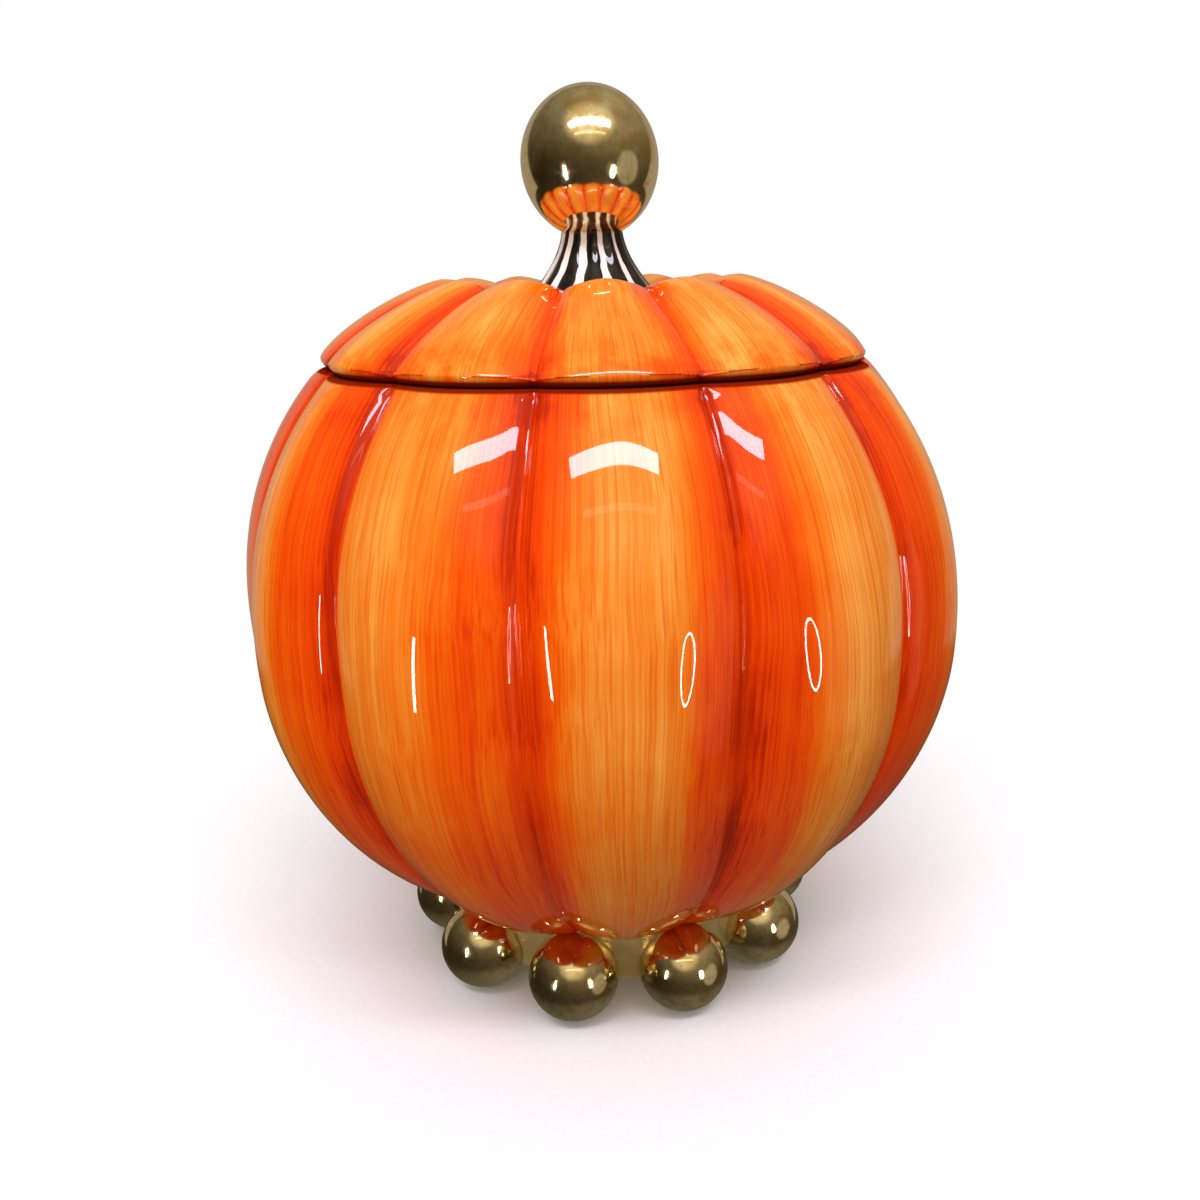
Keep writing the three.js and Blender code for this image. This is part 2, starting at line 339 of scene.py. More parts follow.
def paint_values(angle, along, drift, bands, edge, seam_and_shade):
    """What the painted glaze reads at each point: the way round and along, how dark the paint is
    with its painted shade towards the bottom, how near the ends of the brush strokes are, and the
    dark line where lid and bowl meet, which is darker paint with the gap's shadow painted in."""
    round_to = angle + drift
    spread = 0 * angle
    return {
        "ring": np.stack([np.sin(round_to), -np.cos(round_to), along + spread], -1),
        "pigment_and_shade": pigment_and_shade(round_to, along, bands),
        "edge": edge[:, None] + spread,
        "seam_and_shade": seam_and_shade[:, None] + spread,
    }


# ---------------------------------------------------------------- shader helpers


class Nodes:
    """Short calls that add and link shader nodes in one material."""

    def __init__(self, name):
        self.material = bpy.data.materials.new(name)
        self.material.use_nodes = True
        self.tree = self.material.node_tree
        self.shader = self.tree.nodes["Principled BSDF"]

    @classmethod
    def of_tree(cls, tree):
        """The same calls for a node tree that isn't a material's."""
        nodes = cls.__new__(cls)
        nodes.tree = tree
        return nodes

    def add(self, kind, **settings):
        node = self.tree.nodes.new(kind)
        for key, value in settings.items():
            setattr(node, key, value)
        return node

    def feed(self, socket, value):
        if isinstance(value, bpy.types.NodeSocket):
            self.tree.links.new(value, socket)
        else:
            socket.default_value = value

    def math(self, operation, first, second=0.0):
        node = self.add("ShaderNodeMath", operation=operation)
        for socket, value in zip(node.inputs, (first, second)):
            self.feed(socket, value)
        return node.outputs[0]

    def parts(self, vector):
        """The x, y and z of a vector."""
        node = self.add("ShaderNodeSeparateXYZ")
        self.feed(node.inputs[0], vector)
        return node.outputs

    def stretch(self, vector, x, y, z):
        node = self.add("ShaderNodeVectorMath", operation="MULTIPLY")
        self.feed(node.inputs[0], vector)
        node.inputs[1].default_value = (x, y, z)
        return node.outputs[0]

    def noise(self, vector, scale, detail=2.0, roughness=0.5, output="Fac"):
        node = self.add("ShaderNodeTexNoise")
        self.feed(node.inputs["Vector"], vector)
        node.inputs["Scale"].default_value = scale
        node.inputs["Detail"].default_value = detail
        node.inputs["Roughness"].default_value = roughness
        return node.outputs[output]

    def span(self, value, low, high, to_low, to_high, kind="LINEAR"):
        node = self.add("ShaderNodeMapRange", interpolation_type=kind)
        for socket, number in zip(node.inputs, (value, low, high, to_low, to_high)):
            self.feed(socket, number)
        return node.outputs["Result"]

    def ramp(self, value, stops):
        node = self.add("ShaderNodeValToRGB")
        self.feed(node.inputs["Fac"], value)
        elements = node.color_ramp.elements
        while len(elements) < len(stops):
            elements.new(0.5)
        for element, (place, colour) in zip(elements, stops):
            element.position = place
            element.color = (*linear(colour), 1)
        return node.outputs["Color"]

    def mix(self, share, first, second, blend="MIX"):
        node = self.add("ShaderNodeMix", data_type="RGBA", blend_type=blend)
        self.feed(node.inputs["Factor"], share)
        colours = [s for s in node.inputs if s.type == "RGBA"]
        for socket, value in zip(colours, (first, second)):
            self.feed(socket, (*linear(value), 1) if isinstance(value, str) else value)
        return [s for s in node.outputs if s.type == "RGBA"][0]

    def grey(self, value):
        """A colour with the value as its red, green and blue."""
        node = self.add("ShaderNodeCombineColor")
        for socket in node.inputs:
            self.feed(socket, value)
        return node.outputs[0]

    def towards(self, way, angle, rise):
        """How nearly a direction points round to angle from -Y and up to rise, in degrees."""
        angle, rise = math.radians(angle), math.radians(rise)
        node = self.add("ShaderNodeVectorMath", operation="DOT_PRODUCT")
        self.feed(node.inputs[0], way)
        node.inputs[1].default_value = around_axis(angle, math.cos(rise), math.sin(rise))
        return node.outputs["Value"]

    def attribute(self, name, output="Fac"):
        return self.add("ShaderNodeAttribute", attribute_name=name).outputs[output]

    def place(self):
        """Where a point is on the piece, in metres."""
        return self.add("ShaderNodeTexCoord").outputs["Object"]

    def bump(self, height, strength, distance):
        node = self.add("ShaderNodeBump")
        self.feed(node.inputs["Height"], height)
        node.inputs["Strength"].default_value = strength
        node.inputs["Distance"].default_value = distance
        self.set(Normal=node.outputs["Normal"], Coat_Normal=node.outputs["Normal"])

    def set(self, **values):
        for key, value in values.items():
            self.feed(self.shader.inputs[key.replace("_", " ")], value)


def around_axis(angle, distance, height):
    """The point at an angle round the axis from -Y."""
    return Vector((distance * math.sin(angle), -distance * math.cos(angle), height))


def linear(colour):
    """A hex sRGB colour as linear red, green and blue."""
    parts = [int(colour[i : i + 2], 16) / 255 for i in (1, 3, 5)]
    return [c / 12.92 if c <= 0.04045 else ((c + 0.055) / 1.055) ** 2.4 for c in parts]


# ---------------------------------------------------------------- materials

# The brushed underglaze, from its lightest to its darkest
ORANGES = [(0.04, "#f59f42"), (0.18, "#ee8a2c"), (0.34, "#ef7819"), (0.5, "#ee6108")]
ORANGES += [(0.68, "#eb4e04"), (0.86, "#e03c02"), (1.0, "#b82602")]
HAIR_TINT = "#dd6a1c"  # of the single bristles' marks
# The dark line where lid and bowl meet is darker paint with the gap's shadow painted in.
SEAM_AND_SHADE_COLOUR = "#7a1605"  # of the dark line where lid and bowl meet
MIRROR_GOLD = [(0.36, "#d6bf88"), (0.5, "#eadcb4"), (0.66, "#d2b984")]
# A lighter, less mirror-like copy of the gold for the foot ring: painted light, standing in for the
# light its fillets catch in the shade under the bowl.
LIT_RING_GOLD = [(0.3, "#dcbc72"), (0.7, "#f2dca0")]
WORN_GOLD = "#8c7040"


def clear_glaze(nodes, roughness=0.03):
    """The glassy coat that every glazed face has."""
    nodes.set(Coat_Weight=1.0, Coat_Roughness=roughness, Coat_IOR=1.45, IOR=1.45)
    nodes.set(Roughness=0.5, Specular_IOR_Level=0.0)
    wobble = nodes.noise(nodes.place(), 28.0, 1.0)
    nodes.bump(wobble, 0.05, 1.0 * MM)


def painted_glaze():
    """Orange underglaze brushed along the lobes, lighter on their crests, under clear glaze, with
    painted shade towards the bottom and a dark line where lid and bowl meet that is darker paint
    with painted shadow of the gap.
    """
    nodes = Nodes("painted_orange_glaze")
    place = nodes.place()
    waver = nodes.noise(place, 16.0, output="Color")
    ring = nodes.mix(0.03, nodes.attribute("ring", "Vector"), waver, "LINEAR_LIGHT")
    strokes = nodes.noise(nodes.stretch(ring, 8.0, 8.0, 1.6), 1.0)
    streaks = nodes.noise(nodes.stretch(ring, 26.0, 26.0, 1.3), 1.0, 2.0, 0.6)
    bristles = nodes.noise(nodes.stretch(ring, 170.0, 170.0, 1.8), 1.0, 2.0, 0.6)
    blotches = nodes.noise(place, 40.0, 3.0, 0.55)
    smudges = nodes.noise(place, 130.0, 3.0, 0.6)
    dabs = nodes.span(smudges, 0.35, 0.68, -0.1, 0.55)
    # What each of them adds to the paint's depth
    layers = [
        nodes.span(strokes, 0.25, 0.75, -0.16, 0.16),
        nodes.span(streaks, 0.25, 0.75, -0.13, 0.14),
        nodes.span(bristles, 0.3, 0.7, -0.1, 0.14),
        nodes.span(blotches, 0.3, 0.7, -0.11, 0.11),
        nodes.math("MULTIPLY", nodes.attribute("edge"), dabs),
    ]
    tone = nodes.attribute("pigment_and_shade")
    for layer in layers:
        tone = nodes.math("ADD", tone, layer)
    colour = nodes.ramp(nodes.span(tone, -0.1, 1.2, 0.0, 1.0), ORANGES)
    hairs = nodes.span(bristles, 0.48, 0.7, 0.0, 0.28)
    colour = nodes.mix(hairs, colour, HAIR_TINT, "MULTIPLY")
    # The dark line where lid and bowl meet: darker paint with the gap's shadow painted in, and no
    # clear coat there, so it mirrors nothing.
    seam_and_shade = nodes.attribute("seam_and_shade")
    colour = nodes.mix(nodes.span(seam_and_shade, 0.1, 0.7, 0.0, 0.97), colour, SEAM_AND_SHADE_COLOUR)
    clear_glaze(nodes)
    nodes.set(Base_Color=colour, Coat_Weight=nodes.span(seam_and_shade, 0.1, 0.5, 1.0, 0.0))
    return nodes.material


def inside_glaze():
    """Warm white glaze, pooling a little darker in broad patches."""
    nodes = Nodes("white_inside_glaze")
    pools = nodes.noise(nodes.place(), 18.0, 3.0)
    specks = nodes.noise(nodes.place(), 900.0, 1.0)
    colour = nodes.ramp(pools, [(0.3, "#efe6d6"), (0.7, "#f7f1e6")])
    dots = nodes.span(specks, 0.74, 0.78, 0.0, 0.5)
    nodes.set(Base_Color=nodes.mix(dots, colour, "#8a6a4a"))
    clear_glaze(nodes, 0.06)
    return nodes.material


def bare_clay():
    """Unglazed earthenware where the lid rests and under the jar."""
    nodes = Nodes("bare_clay")
    grain = nodes.noise(nodes.place(), 1400.0, 4.0, 0.65)
    stains = nodes.noise(nodes.place(), 60.0, 3.0)
    colour = nodes.ramp(stains, [(0.3, "#d9c3a3"), (0.7, "#e9dcc4")])
    nodes.set(Base_Color=nodes.mix(nodes.span(grain, 0.4, 0.7, 0.0, 0.4), colour, "#a98a66"))
    nodes.set(Roughness=nodes.span(grain, 0.3, 0.7, 0.7, 0.95))
    nodes.bump(grain, 0.3, 0.2 * MM)
    return nodes.material


def gold_lustre(name, stops, roughness, metallic):
    """Gold fired over glaze, with a faint ripple, cloudy patches and worn spots. roughness is
    where the gold is whole and where it is worn."""
    nodes = Nodes(name)
    clouds = nodes.noise(nodes.place(), 110.0, 3.0, 0.6)
    wear = nodes.noise(nodes.place(), 480.0, 3.0, 0.7)
    colour = nodes.ramp(clouds, stops)
    nodes.set(Base_Color=nodes.mix(nodes.span(wear, 0.58, 0.72, 0.0, 0.4), colour, WORN_GOLD))
    nodes.set(Metallic=metallic, Roughness=nodes.span(wear, 0.35, 0.7, *roughness))
    nodes.bump(nodes.noise(nodes.place(), 60.0, 2.0), 0.06, 1.0 * MM)
    return nodes.material


def striped_glaze():
    """Black stripes brushed by hand down a white stem."""
    nodes = Nodes("striped_glaze")
    place = nodes.place()
    x, y, _ = nodes.parts(place)
    angle = nodes.math("ARCTAN2", x, nodes.math("MULTIPLY", y, -1.0))
    shake = nodes.noise(place, 160.0)
    angle = nodes.math("ADD", angle, nodes.span(shake, 0.3, 0.7, -0.035, 0.035))
    angle = nodes.math("ADD", angle, STRIPE_TURN)
    stripe = nodes.math("COSINE", nodes.math("MULTIPLY", angle, float(STRIPES)))
    black = nodes.span(stripe, -0.58, -0.42, 0.0, 1.0, "SMOOTHSTEP")
    thin = nodes.noise(nodes.stretch(place, 500.0, 500.0, 60.0), 1.0)
    ink = nodes.ramp(thin, [(0.35, "#0c0b0a"), (0.75, "#2c2822")])
    nodes.set(Base_Color=nodes.mix(black, "#f4f1ea", ink))
    clear_glaze(nodes, 0.05)
    return nodes.material


PAINTED = painted_glaze()
INSIDE = inside_glaze()
CLAY = bare_clay()
GOLD = gold_lustre("gold_lustre", MIRROR_GOLD, roughness=(0.06, 0.18), metallic=1.0)
# The foot ring's lighter copy of the gold is painted light, for what its fillets catch.
RING_GOLD = gold_lustre("ring_gold_lit_copy", LIT_RING_GOLD, roughness=(0.3, 0.45), metallic=0.65)
STRIPED = striped_glaze()


# ---------------------------------------------------------------- pieces


def bowl_outside():
    """The bowl's outside (r, z), from the edge of its underside up to its rounded rim edge."""

    def oval(half_height, low, high, steps, fullness):
        power = 2 / fullness
        return arc(0, BELLY_HEIGHT, BELLY_RADIUS, half_height, low, high, steps, 1.0, power)

    start = -math.acos(BASE_RADIUS / BELLY_RADIUS)
    edge_share = (RIM_HEIGHT - RIM_EDGE_DROP - BELLY_HEIGHT) / RISE_ABOVE_BELLY
    end = math.asin(edge_share ** (FULLNESS_ABOVE / 2))
    below = oval(DROP_BELOW_BELLY, start, 0, BOWL_STEPS_BELOW, FULLNESS_BELOW)
    above = oval(RISE_ABOVE_BELLY, 0, end, BOWL_STEPS_ABOVE, FULLNESS_ABOVE)
    return joined(below, above)


def bowl_dips(outside):
    """The bowl's grooves: square to the wall below the belly, and level above it."""
    depth = BELLY_GROOVE * (outside[:, 0] / BELLY_RADIUS) ** GROOVE_FADE
    dips = normals(outside) * depth[:, None]
    above = outside[:, 1] > BELLY_HEIGHT
    share = smooth(BELLY_HEIGHT, BELLY_HEIGHT + SHOULDER_RISE, outside[above, 1])
    dips[above, 0] = BELLY_GROOVE + (SHOULDER_GROOVE - BELLY_GROOVE) * share
    dips[above, 1] = 0
    return dips


def bowl():
    """The lobed shell: its outside, rim, mouth and inside in one surface."""
    outside = bowl_outside()
    dips = bowl_dips(outside)
    inside = (outside - normals(outside) * WALL)[::-1][INSIDE_STARTS:]
    inside_dips = dips[::-1][INSIDE_STARTS:]
    edge_r = outside[-1, 0]
    rim_end = (edge_r - RIM_EDGE_IN, RIM_HEIGHT)
    rim = bend(outside[-1], (edge_r - RIM_EDGE_BEND, RIM_HEIGHT), rim_end, 10)[1:]
    lip_r, lip_z = MOUTH_RADIUS + RIM_LIP, RIM_HEIGHT - RIM_LIP
    land = line(rim_end, (lip_r, RIM_HEIGHT), 3)[1:]
    lip = arc(lip_r, lip_z, RIM_LIP, RIM_LIP, math.pi / 2, math.pi, 4)[1:]
    throat = line(lip[-1], (MOUTH_RADIUS, RIM_HEIGHT - MOUTH_DEPTH), 3)[1:]
    floor = line(inside[-1], (0, inside[-1][1]), 12)[1:]
    foot = line((0, outside[0][1]), outside[0], 6)[:-1]
    stretches = [
        (foot, flat(foot)),
        (outside, dips),
        (rim, fading(rim, SHOULDER_GROOVE, RIM_GROOVE)),
        (land, fading(land, RIM_GROOVE, 0)),
        (lip, flat(lip)),
        (throat, flat(throat)),
        (inside, inside_dips),
        (floor, flat(floor)),
    ]
    path, all_dips = (np.concatenate(part) for part in zip(*stretches))
    painted = slice(len(foot), len(foot) + len(outside))
    along = np.zeros(len(path))
    along[painted] = lengthwise(outside)
    along[painted.stop :] = 1
    angle = lobe_angles()
    drift = sway(angle, along[:, None])
    glazed_to = painted.stop + len(rim) + 1  # the glaze just runs over the rim's edge
    clay_to = painted.stop + len(rim) + len(land) - 1
    material = np.full(len(path), INSIDE_SLOT)
    material[: painted.start] = CLAY_SLOT
    material[painted.start : glazed_to] = PAINT_SLOT
    material[glazed_to:clay_to] = CLAY_SLOT
    dabs = 0.35 * smooth(0.9, 1.0, along)
    # Painted shadow of the gap under the lid, on darker paint along the rim's top edge.
    seam_and_shade = smooth(RIM_HEIGHT - 1.2 * MM, RIM_HEIGHT - 0.2 * MM, path[:, 1])
    values = paint_values(angle, along[:, None], drift, BOWL_BANDS, dabs, seam_and_shade)
    rows = turned(path, angle, all_dips, drift)
    return grid_piece("bowl_shell", rows, [PAINTED, INSIDE, CLAY], material, values=values)


def lid_top():
    """The lid's outside (r, z), from under its rounded edge up the dome and into the dimple."""
    nose_z = LID_SEAT + LID_NOSE
    nose = arc(LID_RADIUS - LID_NOSE, nose_z, LID_NOSE, LID_NOSE, -math.pi / 2, 0, NOSE_STEPS)
    reach, rise = LID_RADIUS - LID_TOP_RADIUS, LID_TOP - nose_z
    power = 2 / LID_FULLNESS
    dome = arc(LID_TOP_RADIUS, nose_z, reach, rise, 0, math.pi / 2, 56, power, power)
    share = np.linspace(0, 1, 15)[:, None]
    sink = (1 - np.cos(math.pi * share)) / 2
    dimple_r = LID_TOP_RADIUS + (DIMPLE_RADIUS - LID_TOP_RADIUS) * share
    dimple = np.hstack([dimple_r, LID_TOP + (DIMPLE_HEIGHT - LID_TOP) * sink])
    return joined(nose, dome, dimple)


def lid():
    """The lobed dome, with the flange that drops into the mouth and a hole under the stem."""
    top = lid_top()
    depth = LID_GROOVE * smooth(DIMPLE_RADIUS, LID_TOP_RADIUS, top[:, 0])
    dips = normals(top) * depth[:, None]
    dips[: NOSE_STEPS + 1] = (LID_GROOVE, 0)
    inner = FLANGE_RADIUS - FLANGE_WALL
    under = (top - normals(top) * WALL)[::-1]
    keep = (under[:, 0] < inner - 1 * MM) & (under[:, 0] > DIMPLE_RADIUS)
    under, under_dips = under[keep], dips[::-1][keep] * 0.8
    centre = line((DIMPLE_RADIUS, DIMPLE_HEIGHT), (VENT_RADIUS, DIMPLE_HEIGHT), 4)[1:]
    vent = line((VENT_RADIUS, DIMPLE_HEIGHT), (VENT_RADIUS, DIMPLE_HEIGHT - WALL), 3)[1:]
    toe, toe_z = FLANGE_TOE, LID_FOOT + FLANGE_TOE
    flange_in = line((inner, LID_SEAT + FLANGE_ROOT), (inner, toe_z), 6)
    toe_in = arc(inner + toe, toe_z, toe, toe, math.pi, 1.5 * math.pi, 4)[1:]
    toe_out = arc(FLANGE_RADIUS - toe, toe_z, toe, toe, 1.5 * math.pi, TURN, 4)
    flange_out = line(toe_out[-1], (FLANGE_RADIUS, LID_SEAT), 6)[1:]
    stretches = [
        (flange_out, flat(flange_out)),
        (top, dips),
        (centre, flat(centre)),
        (vent, flat(vent)),
        (under, under_dips),
        (flange_in, flat(flange_in)),
        (toe_in, flat(toe_in)),
        (toe_out, flat(toe_out)),
    ]
    path, all_dips = (np.concatenate(part) for part in zip(*stretches))
    painted = slice(len(flange_out), len(flange_out) + len(top))
    along = np.ones(len(path))
    along[: painted.start] = 0
    along[painted] = lengthwise(top)
    angle = lobe_angles()
    drift = sway(angle, along[:, None])
    material = np.full(len(path), INSIDE_SLOT)
    material[painted.start - 1] = CLAY_SLOT
    material[painted.start : painted.stop + len(centre)] = PAINT_SLOT
    dabs = 1 - smooth(0.02, 0.3, along)
    # Painted shadow of the gap, on darker paint along the lid's lower edge.
    seam_and_shade = 1 - smooth(LID_SEAT + 0.5 * MM, LID_SEAT + 1.9 * MM, path[:, 1])
    values = paint_values(angle, along[:, None], drift, LID_BANDS, dabs, seam_and_shade)
    rows = turned(path, angle, all_dips, drift)
    slots = [PAINTED, INSIDE, CLAY]
    return grid_piece("lid_shell", rows, slots, material, closed=True, values=values)


def stem():
    """A bell-shaped tube, lightly fluted so that its stripes stand proud."""

    def on_ball(r):
        return r, BALL_HEIGHT - math.sqrt(BALL_RADIUS**2 - r**2)

    foot = (STEM_FOOT_RADIUS, stem_low.z)
    waist = (STEM_TOP_RADIUS + STEM_FLARE, stem_low.z + STEM_WAIST)
    wall = bend(foot, waist, on_ball(STEM_TOP_RADIUS), 28)
    bore = joined(line(on_ball(STEM_BORE), (STEM_BORE, waist[1]), 4), [(VENT_RADIUS, foot[1])])
    path = np.concatenate([wall, bore])
    in_bore = np.concatenate([np.zeros(len(wall)), np.ones(len(bore))])
    angle = even_angles(STRIPES * STEPS_PER_STRIPE)
    flute = STEM_FLUTES * (1 - in_bore[:, None]) * np.cos(STRIPES * angle)
    rows = turned(path, angle)
    rows[..., :2] *= (1 + flute / path[:, :1])[..., None]
    return grid_piece("stem_flare", rows, [STRIPED, INSIDE], in_bore, closed=True)


def finial():
    """A hollow gold ball, open at the bottom into the stem."""
    inner = BALL_RADIUS - BALL_WALL
    hollow = arc(0, BALL_HEIGHT, inner, inner, math.pi / 2, -math.acos(STEM_BORE / inner), 40)
    start = -math.acos(STEM_BORE / BALL_RADIUS)
    skin = arc(0, BALL_HEIGHT, BALL_RADIUS, BALL_RADIUS, start, math.pi / 2, 72)
    path = np.concatenate([hollow, skin])
    path[0, 0] = path[-1, 0] = 0
    rows = turned(path, even_angles(BALL_STEPS))
    return grid_piece("finial_gold", rows, [GOLD], np.zeros(len(path)))


def foot_ball(index):
    """A gold ball with a small flat that it stands on."""
    angle = (index - 0.5) * TURN / FEET
    path = arc(0, FOOT_HEIGHT, FOOT_RADIUS, FOOT_RADIUS, -math.pi / 2, math.pi / 2, 48)
    path[:, 1] = np.maximum(path[:, 1], 0)
    path[0, 0] = path[-1, 0] = 0
    rows = turned(path, even_angles(FOOT_STEPS))
    rows[..., 0] += FEET_CIRCLE * math.sin(angle)
    rows[..., 1] -= FEET_CIRCLE * math.cos(angle)
    return grid_piece(f"foot_gold_{index}", rows, [GOLD], np.zeros(len(path)))


def foot_ring():
    """The gold ring that the balls are joined to, up to the bowl's underside."""
    r = RING_ROUNDING
    low = RING_BOTTOM + r
    outer = arc(RING_OUTER - r, low, r, r, -math.pi / 2, 0, 10)
    inner = arc(RING_INNER + r, low, r, r, -math.pi, -math.pi / 2, 10)
    outside = bowl_outside()[:BOWL_STEPS_BELOW]
    top_r = np.linspace(RING_OUTER, RING_INNER, 12)
    top_z = np.interp(top_r, outside[:, 0], outside[:, 1]) + RING_SUNK
    top = np.stack([top_r, top_z], 1)
    outer_wall = line(outer[-1], top[0], 8)[1:-1]
    inner_wall = line(top[-1], inner[0], 8)[1:-1]
    path = np.concatenate([outer, outer_wall, top, inner_wall, inner[:-1]])
    rows = turned(path, even_angles(RING_STEPS))
    return grid_piece("foot_ring_gold", rows, [RING_GOLD], np.zeros(len(path)), closed=True)


stands_for(bowl(), "bowl", "jar")
stands_for(foot_ring(), "foot_ring", "jar")
for number in range(1, FEET + 1):
    stands_for(foot_ball(number), f"foot_ball_{number}", "jar")
stands_for(lid(), "lid", "lid")
stands_for(stem(), "stem", "lid")
stands_for(finial(), "finial_ball", "lid")


# ---------------------------------------------------------------- camera, stage and light

CAMERA_ANGLE = math.radians(-4)  # round the jar, from -Y
CAMERA_DISTANCE = 302.8 * MM
CAMERA_HEIGHT = 211.3 * MM
CAMERA_PITCH = math.radians(24.23)  # downwards
CAMERA_YAW = math.radians(2.25)
CAMERA_ROLL = math.radians(-1.02)
CAMERA_LENS = 30.34  # millimetres, on a 36 mm sensor
CAMERA_SHIFT = (-0.0373, 0.0971)

# The lights: how far round from -Y and up from the belly they stand, in degrees, then metres and
# watts. The loop's power is the strength of its glow.
WINDOW = dict(angle=-2, rise=61, distance=1.2, width=1.12, height=0.15, power=11, colour="#f4eeff")
LEDGE = dict(angle=-2, rise=45, distance=1.2, width=0.95, height=0.05, power=0.3, colour="#ffe2c8")
STRIP = dict(angle=-46, rise=-4, distance=0.6, width=0.022, height=0.19, power=0.5, colour="#fff6ea")
LOOP = dict(angle=35, rise=-4, distance=0.6, width=0.075, height=0.19, power=40, colour="#fff6ea")
LOOP_BAND = 7 * MM  # width of the loop's own band
LOOP_STEPS = 48

# Where the floor starts to fade into white, and where it is white
FLOOR_FADE = (0.1, 0.42)
FLOOR_HALF = 6.0

# The soft light, and what the glaze and the gold mirror, from straight down to straight up
SKY = [(0.0, "#756e66"), (0.5, "#ccc8c3"), (1.0, "#f2f0ee")]
ROOM = [(0.0, "#6e685a"), (0.1, "#6a6354"), (0.2, "#4c4436"), (0.4, "#4f4634")]
ROOM += [(0.56, "#685b43"), (0.69, "#81745a"), (0.85, "#9a8d72"), (1.0, "#b8ab8e")]

# Places in the mirrored room: how far round from -Y and up, in degrees, then from which cosine
# of the angle to there the colour comes in and is full, and how much it covers
WALL_PLACE = dict(angle=176, rise=-24, outer=0.43, inner=0.45, cover=1.0)
WALL_COLOUR = "#a99c88"
WALL_BOTTOM = (-0.33, -0.3)  # the wall ends at this height of the direction
DOOR_PLACE = dict(angle=62, rise=-8, outer=0.92, inner=0.95, cover=0.5)
DOOR_COLOUR = "#d8ccb4"
HALO_PLACE = dict(angle=-2, rise=58, outer=0.76, inner=0.95, cover=0.85, kind="SMOOTHSTEP")
HALO_COLOUR = "#ffecc4"


def object_of(name, data):
    made = bpy.data.objects.new(name, data)
    bpy.context.scene.collection.objects.link(made)
    return made


def camera():
    data = bpy.data.cameras.new("camera")
    data.sensor_width = 36
    data.lens = CAMERA_LENS
    data.shift_x, data.shift_y = CAMERA_SHIFT
    data.clip_start = 0.01
    aim = CAMERA_YAW - CAMERA_ANGLE
    heading = Vector((math.sin(aim), math.cos(aim), 0))
    forward = heading * math.cos(CAMERA_PITCH) - Vector((0, 0, math.sin(CAMERA_PITCH)))
    right = Vector((math.cos(aim), -math.sin(aim), 0))
    up = right.cross(forward)
    c, s = math.cos(CAMERA_ROLL), math.sin(CAMERA_ROLL)
    right, up = c * right + s * up, c * up - s * right
    turn = Matrix((right, up, -forward)).transposed()
    eye = object_of("camera", data)
    place = around_axis(CAMERA_ANGLE, CAMERA_DISTANCE, CAMERA_HEIGHT)
    eye.matrix_world = Matrix.Translation(place) @ turn.to_4x4()
    bpy.context.scene.camera = eye


def face_belly(light, angle, rise, distance):
    """Stands a light round the jar and up from its belly, and turns it to face the belly."""
    angle, rise = math.radians(angle), math.radians(rise)
    belly = Vector((0, 0, BELLY_HEIGHT))
    away = around_axis(angle, distance * math.cos(rise), distance * math.sin(rise))
    light.location = belly + away
    light.rotation_mode = "QUATERNION"
    light.rotation_quaternion = (-away).to_track_quat("-Z", "Y")
    light.visible_camera = False


def softbox(name, angle, rise, distance, width, height, power, colour):
    """A rectangular light."""
    data = bpy.data.lights.new(name, "AREA")
    data.shape = "RECTANGLE"
    data.size, data.size_y = width, height
    data.energy = power
    data.color = linear(colour)
    face_belly(object_of(name, data), angle, rise, distance)


def loop_light(name, angle, rise, distance, width, height, power, colour):
    """A tall oval ring of light, seen in the glaze as a thin loop."""
    nodes = Nodes(name)
    glow = nodes.add("ShaderNodeEmission")
    glow.inputs["Color"].default_value = (*linear(colour), 1)
    glow.inputs["Strength"].default_value = power
    nodes.feed(nodes.tree.nodes["Material Output"].inputs["Surface"], glow.outputs[0])
    mesh = bpy.data.meshes.new(name)
    turn = np.linspace(0, TURN, LOOP_STEPS, endpoint=False)
    oval = np.stack([width / 2 * np.cos(turn), height / 2 * np.sin(turn), 0 * turn], 1)
    inner_oval = oval * (1 - 2 * LOOP_BAND / np.array([width, height, 1]))
    here = np.arange(LOOP_STEPS)
    there = np.roll(here, -1)
    faces = np.stack([here, there, there + LOOP_STEPS, here + LOOP_STEPS], 1)
    mesh.from_pydata(np.concatenate([oval, inner_oval]).tolist(), [], faces.tolist())
    mesh.materials.append(nodes.material)
    ring = object_of(name, mesh)
    face_belly(ring, angle, rise, distance)
    ring.visible_diffuse = False
    ring.visible_shadow = False


def lights():
    softbox("window", **WINDOW)
    softbox("ledge", **LEDGE)
    softbox("left_strip", **STRIP)
    loop_light("right_loop", **LOOP)


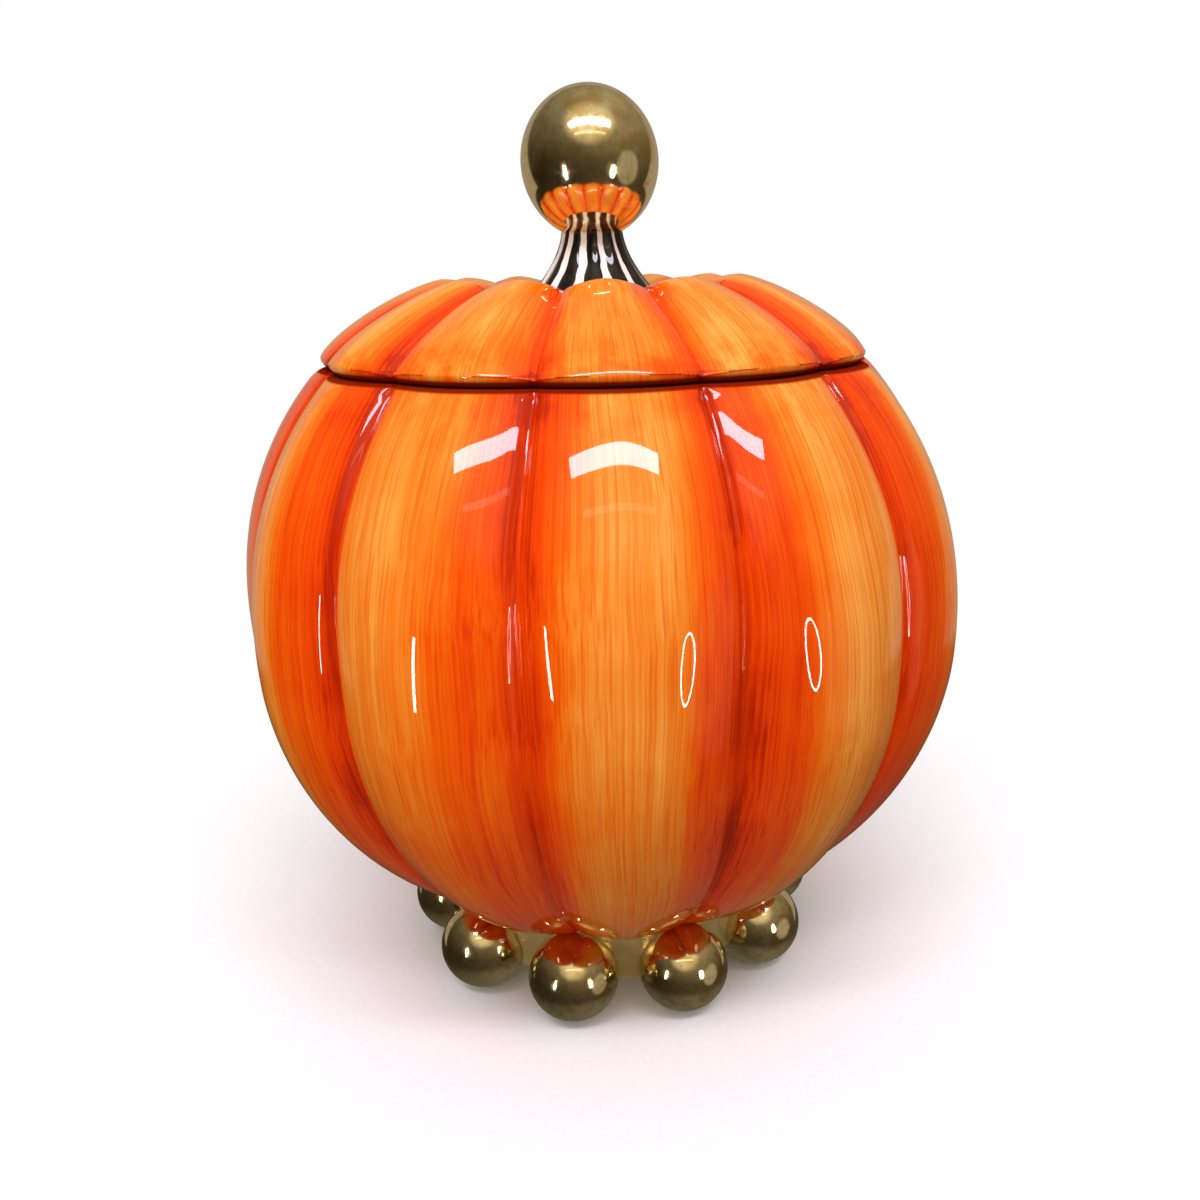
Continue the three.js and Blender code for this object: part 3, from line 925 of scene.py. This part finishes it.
def stage():
    """A pale floor that brightens into the white of the studio away from the jar."""
    nodes = Nodes("pale_paper")
    place = nodes.place()
    fibre = nodes.noise(place, 600.0, 3.0)
    nodes.set(Base_Color=nodes.ramp(fibre, [(0.3, "#f4f4f3"), (0.7, "#f8f8f7")]))
    nodes.set(Roughness=0.9, Specular_IOR_Level=0.1)
    far = nodes.add("ShaderNodeVectorMath", operation="LENGTH")
    nodes.feed(far.inputs[0], place)
    glow = nodes.add("ShaderNodeEmission")
    fade = nodes.add("ShaderNodeMixShader")
    share = nodes.span(far.outputs["Value"], *FLOOR_FADE, 0.0, 1.0, "SMOOTHSTEP")
    for socket, value in zip(fade.inputs, (share, nodes.shader.outputs[0], glow.outputs[0])):
        nodes.feed(socket, value)
    output = nodes.tree.nodes["Material Output"]
    nodes.feed(output.inputs["Surface"], fade.outputs[0])
    mesh = bpy.data.meshes.new("floor")
    half = FLOOR_HALF
    corners = [(-half, -half, 0), (half, -half, 0), (half, half, 0), (-half, half, 0)]
    mesh.from_pydata(corners, [], [(0, 1, 2, 3)])
    mesh.materials.append(nodes.material)
    floor = object_of("floor", mesh)
    floor.visible_glossy = False
    floor.visible_diffuse = False


def world():
    """A studio: white to the eye, soft light from above, and a dim room with a pale wall behind
    the jar, a door and the window's halo to be mirrored in the glaze and the gold."""
    made = bpy.data.worlds.new("studio")
    bpy.context.scene.world = made
    made.use_nodes = True
    nodes = Nodes.of_tree(made.node_tree)
    way = nodes.add("ShaderNodeTexCoord").outputs["Generated"]
    x, _, z = nodes.parts(way)

    def share_of(angle, rise, outer, inner, cover, kind="LINEAR"):
        return nodes.span(nodes.towards(way, angle, rise), outer, inner, 0.0, cover, kind)

    height = nodes.span(z, -1.0, 1.0, 0.0, 1.0)
    darker_left = nodes.grey(nodes.span(x, -1.0, 0.3, 0.4, 1.1))
    room = nodes.mix(1.0, nodes.ramp(height, ROOM), darker_left, "MULTIPLY")
    above = nodes.span(z, *WALL_BOTTOM, 0.0, 1.0)
    room = nodes.mix(nodes.math("MULTIPLY", share_of(**WALL_PLACE), above), room, WALL_COLOUR)
    room = nodes.mix(share_of(**DOOR_PLACE), room, DOOR_COLOUR)
    room = nodes.mix(share_of(**HALO_PLACE), room, HALO_COLOUR)
    ray = nodes.add("ShaderNodeLightPath").outputs
    light = nodes.mix(ray["Is Glossy Ray"], nodes.ramp(height, SKY), room)
    light = nodes.mix(ray["Is Camera Ray"], light, "#ffffff")
    back = made.node_tree.nodes["Background"]
    nodes.feed(back.inputs["Color"], light)
    back.inputs["Strength"].default_value = 1.0


camera()
lights()
stage()
world()
bpy.context.scene.view_settings.view_transform = "Standard"
